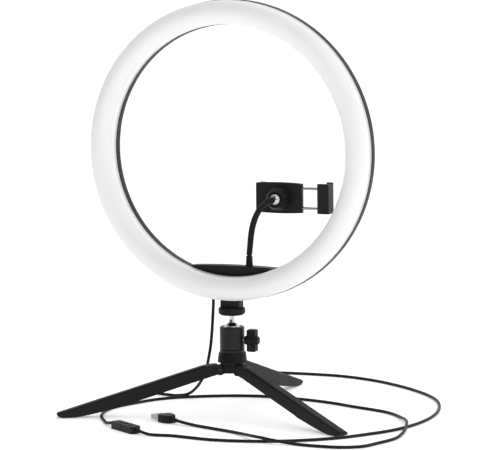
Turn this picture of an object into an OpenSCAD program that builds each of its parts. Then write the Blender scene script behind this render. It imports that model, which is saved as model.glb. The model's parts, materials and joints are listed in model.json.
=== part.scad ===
// Desk ring light: a lit ring on a ball head and a three-legged stand, with a
// phone holder on a gooseneck and a USB lead with an inline controller.
// +Z is up, the ring faces -Y, and the origin is on the floor under the ball head.

/* [Ring] */
// Outer radius of the ring
ring_r = 145; // [110:1:175]
// Radius of the opening inside the ring
ring_bore_r = 121; // [90:1:145]
// Height of the ring above the lock disc
ring_lift = 6.5; // [5:0.5:20]
// Depth of the black rear housing
housing_depth = 9.6; // [9:0.2:16]
// Wall of the rear housing
housing_wall = 2; // [1.6:0.1:2.4]
// Straight side wall of the diffuser
diffuser_side = 8; // [7:0.5:12]
// Height of the diffuser's dome in front of its side wall
diffuser_dome = 10; // [8:0.5:16]
// Wall of the diffuser
diffuser_wall = 2; // [1.6:0.1:2.4]
// Lamps in each of the two rows
led_count = 48; // [24:4:60]
// Screws in the back of the housing
housing_screw_count = 8; // [4:2:12]

/* [Shelf and boss] */
// Height of the shelf above the lowest point of the opening
shelf_h = 9.6; // [8:0.2:16]
// Width of the boss under the ring
boss_w = 20; // [18:1:30]
// Depth of the boss under the ring
boss_d = 10; // [9:0.5:12]

/* [Gooseneck] */
// Radius of the gooseneck
neck_r = 2.8; // [2.5:0.1:3.4]
// Gap between two links of the gooseneck
neck_gap = 1.8; // [1.6:0.1:2.4]

/* [Phone holder] */
// Width of the clamp plate
plate_w = 47.6; // [40:0.2:60]
// Height of the clamp plate
plate_h = 29.8; // [28:0.2:36]
// Width of the phone that the open jaw holds
phone_w = 67; // [60:1:72]
// Depth of the jaws behind the plate's front
jaw_depth = 13; // [12:0.5:18]
// Radius of the two slide rods
rod_r = 1.4; // [1.1:0.1:1.6]
// Radius of the chrome ball
neck_ball_r = 6.2; // [5.8:0.1:6.8]
// Radius over the corners of the clamp nut
nut_r = 11.5; // [11:0.5:13]

/* [Ball head] */
// Radius of the ball
ball_r = 9; // [8.5:0.1:9.4]
// Height of the ball's centre
ball_z = 79.5; // [77:0.5:86]
// Radius of the ball head body
head_r = 12; // [11.8:0.1:13]
// Radius of the lock disc
disc_r = 13; // [11:0.5:18]
// Thickness of the lock disc
disc_t = 7.4; // [5:0.2:10]
// Height of the disc's underside above the ball's centre
disc_lift = 16; // [15:0.5:24]
// Height of the lock knob's axis
knob_z = 71.4; // [70:0.2:74]
// Height of the lock knob's wings
knob_h = 21.6; // [18:0.2:21.8]

/* [Stand] */
// Reach of a leg from the centre
leg_reach = 171; // [150:1:200]
// Width of a leg
leg_w = 10.5; // [10:0.1:12.6]
// Depth of a leg, straight down
leg_depth = 13.4; // [11:0.1:15]
// Wall of a leg's channel
leg_wall = 2; // [1.6:0.1:2.4]
// Radius of the circle that the leg hinges are on
hinge_r = 12.5; // [12:0.1:13.4]
// Height of the leg hinges
hinge_z = 42; // [42:0.1:43]
// Radius of a hinge pin
pin_r = 1.5; // [1.2:0.1:2]
// Width of a leg's hinge barrel
barrel_w = 5; // [4:0.1:5.4]
// Radius of the hub under the collar
hub_r = 11.8; // [11.4:0.1:12.4]

/* [Lead] */
// Diameter of the lead
cord_d = 3; // [2.6:0.1:3]
// Length of the inline controller
control_l = 39; // [36:0.5:42]
// Width of the inline controller
control_w = 10.6; // [10:0.2:14]
// Height of the inline controller
control_h = 7; // [6.8:0.1:9]

/* [Hidden] */
$fn = 64;

// Clearances
fit = 0.05;          // radial, running and sliding fits
gap = 0.3;           // between pieces that move past each other
touch = 0.02;        // between pieces that lie face to face

// Ring: radii are from the ring's centre, and depths run backwards along +Y
disc_z = ball_z + disc_lift;
boss_z = disc_z + disc_t;
ring_z = boss_z + ring_lift + ring_r;
seam_y = 1;
back_y = seam_y + housing_depth;
ring_mid_r = (ring_r + ring_bore_r) / 2;
diffuser_out_r = ring_r - 0.5;
diffuser_in_r = ring_bore_r + 0.5;
dome_half = (diffuser_out_r - diffuser_in_r) / 2;
cavity_w = ring_r - ring_bore_r - 2 * housing_wall;
board_y = seam_y + 3;
board_t = 1.6;
board_w = cavity_w - 1;
led_row_r = [ring_mid_r - cavity_w / 4, ring_mid_r + cavity_w / 4];
led_size = [3.5, 0.8, 2.8];
screw_head_r = 2.4;
screw_shank_r = 1.2;
post_r = 2.6;
screw_ring_r = ring_r - housing_wall - 4;
relief_r = 4.2;
exit_x = -30;
exit_z = ring_z - sqrt(pow(ring_mid_r, 2) - pow(exit_x, 2));

// Shelf inside the ring, which carries the gooseneck
shelf_z = ring_z - ring_bore_r + shelf_h;
shelf_bow = 1.2;
shelf_front = seam_y + 0.5;
flange_t = 2.2;
shelf_half = sqrt(pow(ring_bore_r, 2) - pow(ring_bore_r - shelf_h + shelf_bow, 2)) - 1;
flange_half = 24;
flange_low = ring_z - ring_mid_r - 4;
shelf_screw_x = 17;
shelf_screw_z = ring_z - sqrt(pow(ring_mid_r, 2) - pow(shelf_screw_x, 2));

// Thread of the stand: 1/4 inch
stud_r = 3.175;
insert_r = 4.2;
insert_l = ring_lift - 0.7;
stud_l = insert_l - 0.6;

// Gooseneck route, from the shelf to the chrome ball
neck_x = 16.4;
neck_y = 5.8;
sleeve_low_r = 3.5;
sleeve_top_r = 3;
sleeve_h = 11;
spigot_r = 2.4;
spigot_l = 4;
sleeve_z = shelf_z - shelf_bow * pow(neck_x / shelf_half, 2);
neck_foot = [neck_x, neck_y, sleeve_z + sleeve_h];
neck_steps = [
    [0, 0, 0], [2.1, -2.5, 9.5], [4.8, -6.4, 19.8], [8.7, -11, 30], [14, -15.4, 39.9],
    [17.2, -16.7, 44.5], [21.5, -17.6, 49.6], [25.9, -16, 53.3], [28.6, -11.8, 54.6], [29.8, -3.6, 54.8]
];
neck_path = [for (p = neck_steps) neck_foot + p];
clamp_ball = neck_path[9];
bead_r = 1.8;

// Phone holder: places are from the plate's left edge and its mid height
nut_front = clamp_ball[1] - 2.8;
plate_front = clamp_ball[1] + 10.3;
nut_x = 25;
plate_x = clamp_ball[0] - nut_x;
plate_z = clamp_ball[2] + 0.5;
plate_t = 4;
cover_t = 1.6;
lip_t = 2.5;
lip_w = 3;
jaw_wall = 3;
pad_t = 1;
rod_z = plate_h / 2 - 5.4;
rod_y = plate_front + plate_t / 2;
jaw_inner_x = plate_x + jaw_wall + pad_t + phone_w + pad_t;
jaw_front_x = plate_x + 63.3;
jaw_h = plate_h - 1;
slide_in = 12;
slide_out = 16;
rod_tail = plate_x + 21;
pocket_x = plate_x + 8;
spring_r = 1.9;

// Ball head
head_low = 59.3;
head_top = ball_z + 4.8;
cavity_r = ball_r + 0.25;
shoe_r = ball_r - 0.1;
shoe_z = head_low + 4.6;
groove_z = head_low + 2.8;
knob_in_x = head_r + 1.9;
lock_r = 2;
screw_m = 2.5;

// Hub and legs: a leg is drawn along +X from the centre, and turned into place
collar_low = 49.5;
hub_low = 39.7;
barrel_r = 4.8;
slot_w = barrel_w + 2 * gap;
cheek_t = (leg_w - slot_w) / 2;
cheek_r = barrel_r + 0.4;
root_r = barrel_r + 0.8;
collar_r = 14.3;
leg_azimuth = [210, 330, 90];
leg_top_z = 46.3;
leg_shoulder_r = 30;
leg_tip_z = 4.6;
leg_chamfer = 2.2;
foot_r = leg_reach - 18;
foot_l = 13;
foot_z = 0.4;
arch_l = 45;
pad_l = 11;
pad_w = leg_w - 3.5;
pad_h = 1.6;

// Lead: the points of its route, on the floor unless they give a height
cord_z = cord_d / 2;
grommet_l = 3;
drop_route = [
    [exit_x, back_y + grommet_l + touch, exit_z], [exit_x, back_y + grommet_l + 1, exit_z],
    [-30, 17, 124.2], [-30, 20.5, 122.4], [-30, 23.4, 119.4], [-30.2, 25.2, 115.6], [-30.4, 25.6, 111],
    [-30.6, 25.5, 101], [-31.3, 25.3, 88], [-32.3, 25.2, 74], [-34, 25.6, 60],
    [-36.8, 27, 48], [-41.6, 31.5, 35.4], [-50, 39, 22.6], [-60.5, 48.5, 12.3],
    [-71, 55, 5.1], [-79, 57.5, 2.6], [-88, 58.3, cord_z]
];
ring_side_route = [
    [-88.4, 58.4], [-98, 60.5], [-108, 63.6], [-120, 69], [-130, 77], [-136.5, 88.5],
    [-138, 101], [-136, 115], [-130, 132], [-121, 153], [-113, 174], [-104, 194],
    [-92, 208], [-70, 217], [-44, 220], [-4, 223], [31, 221], [70, 207],
    [102, 187], [130, 164], [152, 141], [168, 118], [181, 88], [190, 54],
    [193, 20], [190, -14], [182, -42], [169, -66], [146, -98], [113, -124],
    [79, -139], [41, -145], [-3, -139.3], [-14, -141], [-24, -142.2, 1.9], [-30, -141.4, 2.9]
];
usb_side_route = [
    [-83, -106, 2.6], [-88.5, -100, 1.8], [-95, -90.5], [-101, -81.5], [-107, -71.5], [-112, -59],
    [-115.8, -45], [-117, -32], [-115, -16], [-107.5, 6], [-97.5, 29], [-83, 47],
    [-61.5, 62], [-37, 74.5], [-16, 81], [5, 83.6], [33, 81.5], [56, 77],
    [78, 70], [105, 58], [131, 42], [154, 22], [166, 8.5], [175, -4, 2.6],
    [181, -15, 4.2], [186, -26.5, 4.9], [190, -38.5, 4.2], [193.5, -51, 2.6], [196.5, -67], [198, -87], [192, -112], [182, -128], [165, -138.5],
    [140, -140.5], [122, -138.5], [110, -138, 2.4], [101, -140, 3.8], [94, -139.8, 4.6],
    [87, -136.4, 4.8], [78, -131, 4.4], [66, -120, 3.1], [54, -109.5, 1.9],
    [43, -102.8], [22, -94.5], [2, -87.5]
];

// Inline controller, across the lead
control_at = [-56.2, -124.5];
control_turn = -34;
control_base_h = control_h / 2;
control_relief_l = 6;
button_r = 2.3;
button_up = 0.7;
button_travel = 0.6;
button_x = [-9, 0, 9];
control_cord_z = control_h / 2;

// USB plug
usb_at = [-31, -75];
usb_turn = 148;
usb_l = 15;
usb_w = 13.4;
usb_h = 7.6;
usb_shell_w = 12;
usb_shell_h = 4.5;
usb_shell_l = 12;
usb_relief_l = 9;

// ---------- helpers ----------

// Something drawn round +Z, set round the ring's axis with its +Z towards the front
module on_ring() {
    translate([0, 0, ring_z]) rotate([90, 0, 0]) children();
}

// A round bar through a list of points, with a ball at each bend
module bar(points, r, knuckle_r) {
    for (i = [0 : len(points) - 2]) rod_between(points[i], points[i + 1], r);
    for (i = [1 : 1 : len(points) - 2]) translate(points[i]) sphere(knuckle_r);
}

module rod_between(a, b, r) {
    d = b - a;
    translate(a) rotate([0, acos(d[2] / norm(d)), atan2(d[1], d[0])]) cylinder(h = norm(d), r = r);
}

function unit(v) = v / norm(v);
function step_to(a, b, d) = a + unit(b - a) * d;

// The lead: one ring of points round each point of its route
cord_sides = 8;
function tangent(p, i) = unit(p[min(i + 1, len(p) - 1)] - p[max(i - 1, 0)]);
function side_of(t) = unit(cross(t, abs(t[2]) > 0.9 ? [1, 0, 0] : [0, 0, 1]));
function ring_of(c, t, r) = let (s = side_of(t), u = cross(s, t))
    [for (k = [0 : cord_sides - 1]) c + r * (cos(k * 360 / cord_sides + 22.5) * s
        + sin(k * 360 / cord_sides + 22.5) * u)];
function tube_points(p, r) = [for (i = [0 : len(p) - 1]) each ring_of(p[i], tangent(p, i), r)];
function tube_faces(n) = concat(
    [[for (k = [0 : cord_sides - 1]) k]],
    [for (i = [0 : n - 2]) each [for (k = [0 : cord_sides - 1]) let (j = (k + 1) % cord_sides)
        [i * cord_sides + k, (i + 1) * cord_sides + k, (i + 1) * cord_sides + j, i * cord_sides + j]]],
    [[for (k = [cord_sides - 1 : -1 : 0]) (n - 1) * cord_sides + k]]
);

module tube(p) {
    polyhedron(points = tube_points(p, cord_d / 2), faces = tube_faces(len(p)), convexity = 10);
}

function on_floor(p) = [for (q = p) [q[0], q[1], len(q) > 2 ? q[2] : cord_z]];

// ---------- ring ----------

function dome(a, b, n) = [for (i = [0 : n]) let (t = i * 180 / n)
    [ring_mid_r + a * cos(t), diffuser_side - seam_y + b * sin(t)]];

module diffuser_profile() {
    polygon(concat(
        [[diffuser_out_r, -seam_y]], dome(dome_half, diffuser_dome, 20), [[diffuser_in_r, -seam_y]],
        [[diffuser_in_r + diffuser_wall, -seam_y]],
        [for (i = [20 : -1 : 0]) dome(dome_half - diffuser_wall, diffuser_dome - diffuser_wall, 20)[i]],
        [[diffuser_out_r - diffuser_wall, -seam_y]]
    ));
}

module around(count, r, from = 0) {
    for (i = [0 : count - 1]) rotate([0, 0, from + i * 360 / count]) translate([r, 0, 0]) children();
}

screw_from = 180 / housing_screw_count;

module diffuser() {
    post_top = diffuser_side - seam_y + (diffuser_dome - diffuser_wall) * 0.7;
    color("white") on_ring() difference() {
        union() {
            rotate_extrude($fn = 128) diffuser_profile();
            around(housing_screw_count, screw_ring_r, screw_from)
                translate([0, 0, -board_y + touch]) cylinder(h = post_top + board_y, r = post_r);
        }
        around(housing_screw_count, screw_ring_r, screw_from)
            translate([0, 0, -board_y - 1]) cylinder(h = 6, r = screw_shank_r + fit);
    }
}

module housing_profile() {
    back = -back_y;
    polygon([
        [ring_r, -seam_y - touch], [ring_r, back + 2], [ring_r - 0.6, back + 0.6], [ring_r - 2, back],
        [ring_bore_r + 2, back], [ring_bore_r + 0.6, back + 0.6], [ring_bore_r, back + 2],
        [ring_bore_r, -seam_y - touch], [ring_bore_r + housing_wall, -seam_y - touch],
        [ring_bore_r + housing_wall, back + housing_wall], [ring_r - housing_wall, back + housing_wall],
        [ring_r - housing_wall, -seam_y - touch]
    ]);
}

module boss_block() {
    top = ring_z - ring_r + housing_wall / 2;
    difference() {
        translate([-boss_w / 2, -boss_d / 2, boss_z])
            cube([boss_w, boss_d, top - boss_z]);
        on_ring() translate([0, 0, -seam_y - touch]) cylinder(h = 40, r = ring_r + gap, $fn = 128);
    }
}

module rear_housing() {
    color([0.05, 0.05, 0.055]) difference() {
        union() {
            on_ring() rotate_extrude($fn = 128) housing_profile();
            on_ring() around(housing_screw_count, screw_ring_r, screw_from)
                translate([0, 0, -back_y + 1]) cylinder(h = back_y - 1 - board_y - board_t - touch, r = post_r + 0.8);
            boss_block();
        }
        translate([0, 0, boss_z - 1]) cylinder(h = insert_l + 1, r = insert_r);
        on_ring() around(housing_screw_count, screw_ring_r, screw_from) {
            translate([0, 0, -back_y - 1]) cylinder(h = 2.6, r = screw_head_r + 0.2);
            translate([0, 0, -back_y - 1]) cylinder(h = back_y + 2, r = screw_shank_r + 0.2);
        }
        translate([exit_x, back_y - housing_wall - 1, exit_z]) rotate([-90, 0, 0])
            cylinder(h = housing_wall + 2, r = relief_r - 1);
        for (s = [-1, 1]) translate([s * shelf_screw_x, back_y - housing_wall - 1, shelf_screw_z])
            rotate([-90, 0, 0]) cylinder(h = housing_wall + 2, r = screw_shank_r);
    }
}

module led_board() {
    color([0.93, 0.93, 0.9]) on_ring() difference() {
        translate([0, 0, -board_y - board_t]) cylinder(h = board_t, r = ring_mid_r + board_w / 2, $fn = 128);
        translate([0, 0, -board_y - board_t - 1])
            cylinder(h = board_t + 2, r = ring_mid_r - board_w / 2, $fn = 128);
        around(housing_screw_count, screw_ring_r, screw_from)
            translate([0, 0, -board_y - board_t - 1]) cylinder(h = board_t + 2, r = screw_shank_r + 0.2);
    }
}

module leds() {
    color([1, 0.9, 0.5]) on_ring() for (row = led_row_r) around(led_count, row, 180 / led_count)
        translate([-led_size[2] / 2, -led_size[0] / 2, -board_y + touch])
            cube([led_size[2], led_size[0], led_size[1]]);
}

module housing_screws() {
    color("dimgray") on_ring() around(housing_screw_count, screw_ring_r, screw_from)
        translate([0, 0, -back_y + 0.1]) difference() {
            union() {
                cylinder(h = 1.4, r = screw_head_r);
                cylinder(h = back_y - board_y + 4, r = screw_shank_r);
            }
            for (a = [0, 90]) rotate([0, 0, a]) translate([-1.4, -0.3, -1]) cube([2.8, 0.6, 1.7]);
        }
}

// ---------- shelf, insert and grommet ----------

module shelf_outline() {
    edge = [for (i = [-6 : 6]) let (x = shelf_half * i / 6)
        [x, shelf_z - ring_z - shelf_bow * pow(i / 6, 2)]];
    difference() {
        polygon(concat(edge, [[shelf_half, -ring_bore_r - 2], [-shelf_half, -ring_bore_r - 2]]));
        difference() {
            circle(ring_bore_r + 60, $fn = 128);
            circle(ring_bore_r - 0.12, $fn = 128);
        }
    }
}

module flange_outline() {
    top = shelf_z - shelf_bow - 1.5;
    for (s = [-1, 1]) translate([s * (flange_half - 4), flange_low - ring_z + 4]) circle(4);
    translate([-flange_half, flange_low - ring_z + 4]) square([2 * flange_half, top - flange_low - 4]);
    translate([-flange_half + 4, flange_low - ring_z]) square([2 * flange_half - 8, 8]);
}

module neck_shelf() {
    color([0.06, 0.06, 0.065]) difference() {
        union() {
            on_ring() translate([0, 0, -back_y - flange_t]) linear_extrude(back_y + flange_t - shelf_front)
                shelf_outline();
            on_ring() translate([0, 0, -back_y - flange_t]) linear_extrude(flange_t - touch) flange_outline();
        }
        translate([neck_x, neck_y, sleeve_z - spigot_l]) cylinder(h = 20, r = spigot_r);
        for (s = [-1, 1]) translate([s * shelf_screw_x, back_y - 1, shelf_screw_z]) rotate([-90, 0, 0]) {
            cylinder(h = 6, r = screw_shank_r + 0.2);
            translate([0, 0, 1 + flange_t - 1]) cylinder(h = 6, r = screw_head_r + 0.2);
        }
    }
}

module shelf_screws() {
    color("dimgray") for (s = [-1, 1]) translate([s * shelf_screw_x, back_y + flange_t - 1, shelf_screw_z])
        rotate([-90, 0, 0]) difference() {
            union() {
                translate([0, 0, 0.02]) cylinder(h = 1.4, r = screw_head_r);
                translate([0, 0, -4]) cylinder(h = 5, r = screw_shank_r);
            }
            for (a = [45, 135]) rotate([0, 0, a]) translate([-1.4, -0.3, 0.8]) cube([2.8, 0.6, 2]);
        }
}

module threaded_insert() {
    color("gold") translate([0, 0, boss_z + 0.2]) difference() {
        cylinder(h = insert_l - 0.2 - touch, r = insert_r);
        translate([0, 0, -1]) cylinder(h = insert_l + 2, r = stud_r + fit);
    }
}

module cord_grommet() {
    color([0.03, 0.03, 0.03]) translate([exit_x, back_y, exit_z]) rotate([-90, 0, 0]) difference() {
        union() {
            translate([0, 0, -housing_wall - 1]) cylinder(h = 1 - touch, r = relief_r);
            translate([0, 0, -housing_wall - 1]) cylinder(h = housing_wall + 2, r = relief_r - 1 - touch);
            translate([0, 0, touch]) cylinder(h = 1.2, r = relief_r);
            translate([0, 0, 1]) cylinder(h = grommet_l - 1, r1 = relief_r - 1.2, r2 = cord_d / 2 + 0.5);
        }
        translate([0, 0, -housing_wall - 2]) cylinder(h = housing_wall + 3, r = cord_d / 2);
    }
}

// ---------- gooseneck ----------

// A link between two points of the route, with a bead in its far end and a cup at its near end
module neck_link(first, last, cup, bead) {
    near = cup ? step_to(neck_path[first], neck_path[first + 1], neck_gap / 2) : neck_path[first];
    far = bead ? step_to(neck_path[last], neck_path[last - 1], neck_gap / 2) : neck_path[last];
    mid = [for (i = [first + 1 : 1 : last - 1]) neck_path[i]];
    color([0.04, 0.04, 0.04]) difference() {
        union() {
            bar(concat([near], mid, [far]), neck_r, neck_r + 0.04);
            if (bead) {
                rod_between(step_to(far, neck_path[last - 1], 1), neck_path[last], bead_r - 0.6);
                translate(neck_path[last]) sphere(bead_r);
            }
        }
        if (cup) translate(neck_path[first]) sphere(bead_r + 0.2);
    }
}

module neck_base_sleeve() {
    top = sleeve_h - neck_gap / 2;
    color([0.05, 0.05, 0.055]) union() {
        translate([neck_x, neck_y, sleeve_z - spigot_l + touch]) cylinder(h = spigot_l + 1, r = spigot_r);
        translate([neck_x, neck_y, sleeve_z + 0.1]) cylinder(h = top - 0.1, r1 = sleeve_low_r, r2 = sleeve_top_r);
        translate([neck_x, neck_y, sleeve_z + 1]) cylinder(h = sleeve_h - 1, r = bead_r - 0.6);
        translate(neck_foot) sphere(bead_r);
    }
}

module neck_link_1() { neck_link(0, 2, true, true); }
module neck_link_2() { neck_link(2, 4, true, true); }
module neck_link_3() { neck_link(4, 6, true, true); }

module neck_link_4() {
    tip = step_to(clamp_ball, neck_path[8], neck_ball_r + touch);
    near = step_to(neck_path[6], neck_path[7], neck_gap / 2);
    color([0.04, 0.04, 0.04]) difference() {
        bar([near, neck_path[7], neck_path[8], tip], neck_r, neck_r);
        translate(neck_path[6]) sphere(bead_r + 0.2);
        translate(clamp_ball) sphere(neck_ball_r + touch);
    }
}

module neck_ball() { color("silver") translate(clamp_ball) sphere(neck_ball_r); }

// ---------- phone holder ----------

module clamp_nut() {
    depth = plate_front - nut_front;
    color([0.05, 0.05, 0.055]) difference() {
        translate([clamp_ball[0], plate_front - touch, clamp_ball[2]]) rotate([90, 0, 0]) intersection() {
            rotate([0, 0, 22.5]) cylinder(h = depth, r = nut_r, $fn = 8);
            cylinder(h = depth, r1 = nut_r + 5.5, r2 = nut_r - 3.6);
        }
        translate(clamp_ball) sphere(neck_ball_r + 0.25);
        translate([clamp_ball[0], nut_front - 1, clamp_ball[2]]) rotate([-90, 0, 0])
            cylinder(h = 1.8, r1 = neck_ball_r + 1.4, r2 = neck_ball_r - 0.3);
    }
}

module plate_outline(w, h) {
    bow = 0.9;
    polygon(concat(
        [for (i = [0 : 8]) [w * i / 8, h / 2 - bow * pow(i / 4 - 1, 2)]],
        [for (i = [8 : -1 : 0]) [w * i / 8, -h / 2 + bow * pow(i / 4 - 1, 2)]]
    ));
}

// Something drawn on the X-Z plane from the plate's left edge and mid height, from y back by depth
module on_plate(y, depth) {
    translate([plate_x, y + depth, plate_z]) rotate([90, 0, 0]) linear_extrude(depth) children();
}

module clamp_plate() {
    color([0.05, 0.05, 0.055]) difference() {
        union() {
            on_plate(plate_front, plate_t) plate_outline(plate_w, plate_h);
            on_plate(plate_front, jaw_depth) translate([0, -plate_h / 2 + 1]) square([jaw_wall, plate_h - 2]);
            on_plate(plate_front + jaw_depth - lip_t, lip_t)
                translate([0, -plate_h / 2 + 1]) square([jaw_wall + lip_w, plate_h - 2]);
        }
        for (s = [-1, 1]) translate([pocket_x, rod_y, plate_z + s * rod_z]) rotate([0, 90, 0]) {
            cylinder(h = plate_w, r = rod_r + fit);
            translate([0, 0, -1]) cylinder(h = rod_tail - pocket_x + 19.5, r = spring_r - 0.1);
        }
        translate([pocket_x - 2, plate_front + plate_t - cover_t + 0.2, plate_z - plate_h / 2 + 3.2])
            cube([plate_w - 12, 10, plate_h - 6.4]);
        for (x = [12, 36]) translate([plate_x + x, plate_front + 1, plate_z]) rotate([-90, 0, 0])
            cylinder(h = 10, r = screw_shank_r);
    }
}

module clamp_cover() {
    y = plate_front + plate_t - cover_t + 0.2 + touch;
    color([0.05, 0.05, 0.055]) difference() {
        translate([pocket_x - 2 + 0.1, y, plate_z - plate_h / 2 + 3.3])
            cube([plate_w - 12.2, cover_t - 0.2, plate_h - 6.6]);
        for (s = [-1, 1]) translate([pocket_x - 5, rod_y, plate_z + s * rod_z]) rotate([0, 90, 0])
            cylinder(h = plate_w, r = spring_r + 0.1);
        for (x = [12, 36]) translate([plate_x + x, y - 1, plate_z]) rotate([-90, 0, 0]) {
            cylinder(h = 10, r = screw_shank_r + 0.2);
            translate([0, 0, 1.6]) cylinder(h = 10, r = screw_head_r + 0.2);
        }
    }
}

module clamp_screws() {
    y = plate_front + plate_t - 0.8;
    color("dimgray") for (x = [12, 36]) translate([plate_x + x, y, plate_z]) rotate([-90, 0, 0]) {
        difference() {
            union() {
                translate([0, 0, touch]) cylinder(h = 0.8, r = screw_head_r);
                translate([0, 0, -2]) cylinder(h = 2.4, r = screw_shank_r);
            }
            for (a = [0, 90]) rotate([0, 0, a]) translate([-1.4, -0.3, 0.45]) cube([2.8, 0.6, 2]);
        }
    }
}

module fixed_jaw_pad() {
    color([0.12, 0.12, 0.12]) translate([plate_x + jaw_wall + touch, plate_front + plate_t + 0.4, plate_z - 11])
        cube([pad_t, jaw_depth - lip_t - plate_t - 0.8, 22]);
}

module clamp_springs() {
    start = pocket_x - 0.8;
    color("silver") for (s = [-1, 1]) translate([start, rod_y, plate_z + s * rod_z]) rotate([0, 90, 0])
        difference() {
            cylinder(h = rod_tail - start - touch, r = spring_r - 0.25);
            translate([0, 0, -1]) cylinder(h = 40, r = spring_r - 0.8);
        }
}

module moving_jaw() {
    right = jaw_inner_x + jaw_wall;
    color([0.05, 0.05, 0.055]) difference() {
        union() {
            translate([jaw_front_x, plate_front, plate_z - jaw_h / 2]) cube([right - jaw_front_x, plate_t, jaw_h]);
            translate([jaw_inner_x, plate_front, plate_z - jaw_h / 2]) cube([jaw_wall, jaw_depth, jaw_h]);
            translate([jaw_inner_x - lip_w, plate_front + jaw_depth - lip_t, plate_z - jaw_h / 2])
                cube([lip_w + jaw_wall, lip_t, jaw_h + 0.8]);
        }
        for (s = [-1, 1]) translate([jaw_front_x - 1, rod_y, plate_z + s * rod_z]) rotate([0, 90, 0])
            cylinder(h = 7, r = rod_r);
    }
}

module slide_rods() {
    color("silver") for (s = [-1, 1]) translate([rod_tail, rod_y, plate_z + s * rod_z]) rotate([0, 90, 0]) {
        cylinder(h = jaw_front_x + 5.9 - rod_tail, r = rod_r);
        cylinder(h = 1.2, r = spring_r - 0.2);
    }
}

module moving_jaw_pad() {
    color([0.12, 0.12, 0.12])
        translate([jaw_inner_x - pad_t - touch, plate_front + plate_t + 0.4, plate_z - 11])
            cube([pad_t, jaw_depth - lip_t - plate_t - 0.8, 22]);
}

// ---------- ball head ----------

module lock_disc() {
    c = 1.2;
    color([0.05, 0.05, 0.055]) translate([0, 0, disc_z]) rotate_extrude() polygon([
        [stud_r + fit, 0.1], [disc_r - 2, 0.1], [disc_r, 2], [disc_r, disc_t - c], [disc_r - c, disc_t - 0.1],
        [stud_r + fit, disc_t - 0.1]
    ]);
}

module stud() {
    foot = 3.4;
    color("silver") difference() {
        union() {
            translate([0, 0, ball_z + ball_r - 2]) cylinder(h = 5, r1 = foot, r2 = 2.3);
            translate([0, 0, ball_z + ball_r + 2]) cylinder(h = disc_lift - ball_r - 2, r1 = 2.3, r2 = 3);
            translate([0, 0, disc_z - touch]) cylinder(h = disc_t + stud_l, r = stud_r);
        }
        translate([0, 0, ball_z]) sphere(ball_r + 0.1);
    }
}

module ball() { color("silver") translate([0, 0, ball_z]) sphere(ball_r); }

module ball_head_body() {
    color([0.05, 0.05, 0.055]) difference() {
        rotate_extrude() polygon([
            [0, head_low + touch], [head_r, head_low + touch], [head_r, groove_z - 0.4], [head_r - 0.6, groove_z],
            [head_r, groove_z + 0.4], [head_r, head_top - 0.8], [head_r - 0.8, head_top], [0, head_top]
        ]);
        translate([0, 0, ball_z]) sphere(cavity_r);
        translate([0, 0, shoe_z - 0.1]) cylinder(h = ball_z - shoe_z + 0.1, r = cavity_r);
        translate([0, 0, head_low - 1]) cylinder(h = 6, r = screw_m);
        translate([0, 0, knob_z]) rotate([0, 90, 0]) cylinder(h = 20, r = lock_r + fit);
        translate([0, 0, head_top - 1.2]) cylinder(h = 2, r1 = 7, r2 = 9.4);
    }
}

module friction_shoe() {
    color("ivory") difference() {
        translate([0, 0, shoe_z]) cylinder(h = ball_z - shoe_z - 2.5, r = shoe_r);
        translate([0, 0, ball_z]) sphere(ball_r + 0.06);
        translate([0, 0, shoe_z - 1]) cylinder(h = 8, r = 5);
        translate([shoe_r - 1.2, -4, shoe_z - 1]) cube([3, 8, 20]);
    }
}

module lock_screw() {
    color("silver") translate([shoe_r - 1, 0, knob_z]) rotate([0, 90, 0]) cylinder(h = knob_in_x + 7 - shoe_r, r = lock_r);
}

module lock_knob() {
    wing_x = knob_in_x + 2.7;
    wing_t = 9;
    color([0.05, 0.05, 0.055]) difference() {
        union() {
            translate([knob_in_x, 0, knob_z]) rotate([0, 90, 0]) cylinder(h = 2.9, r1 = 4, r2 = 5.2);
            translate([knob_in_x + 2.8, 0, knob_z]) rotate([0, 90, 0]) cylinder(h = 9, r = 5.2);
            translate([knob_in_x + 11.7, 0, knob_z]) rotate([0, 90, 0]) cylinder(h = 2.2, r1 = 5.2, r2 = 3.4);
            translate([wing_x + wing_t / 2, 0, knob_z]) rotate([90, 0, 0]) translate([0, 0, -3.6])
                linear_extrude(7.2) difference() {
                    square([wing_t, knob_h], center = true);
                    for (s = [-1, 1]) for (u = [-1, 1]) translate([s * wing_t / 2, u * knob_h / 2])
                        rotate(45) square(1.6, center = true);
                }
        }
        translate([knob_in_x - 1, 0, knob_z]) rotate([0, 90, 0]) cylinder(h = 7.2, r = lock_r);
    }
}

// ---------- hub and legs ----------

module hub_collar() {
    color([0.05, 0.05, 0.055]) rotate_extrude() polygon([
        [8, collar_low + 0.1], [collar_r, collar_low + 0.1], [collar_r, collar_low + 1],
        [collar_r - 1.1, head_low - 0.6], [collar_r - 1.5, head_low], [8, head_low]
    ]);
}

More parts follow.
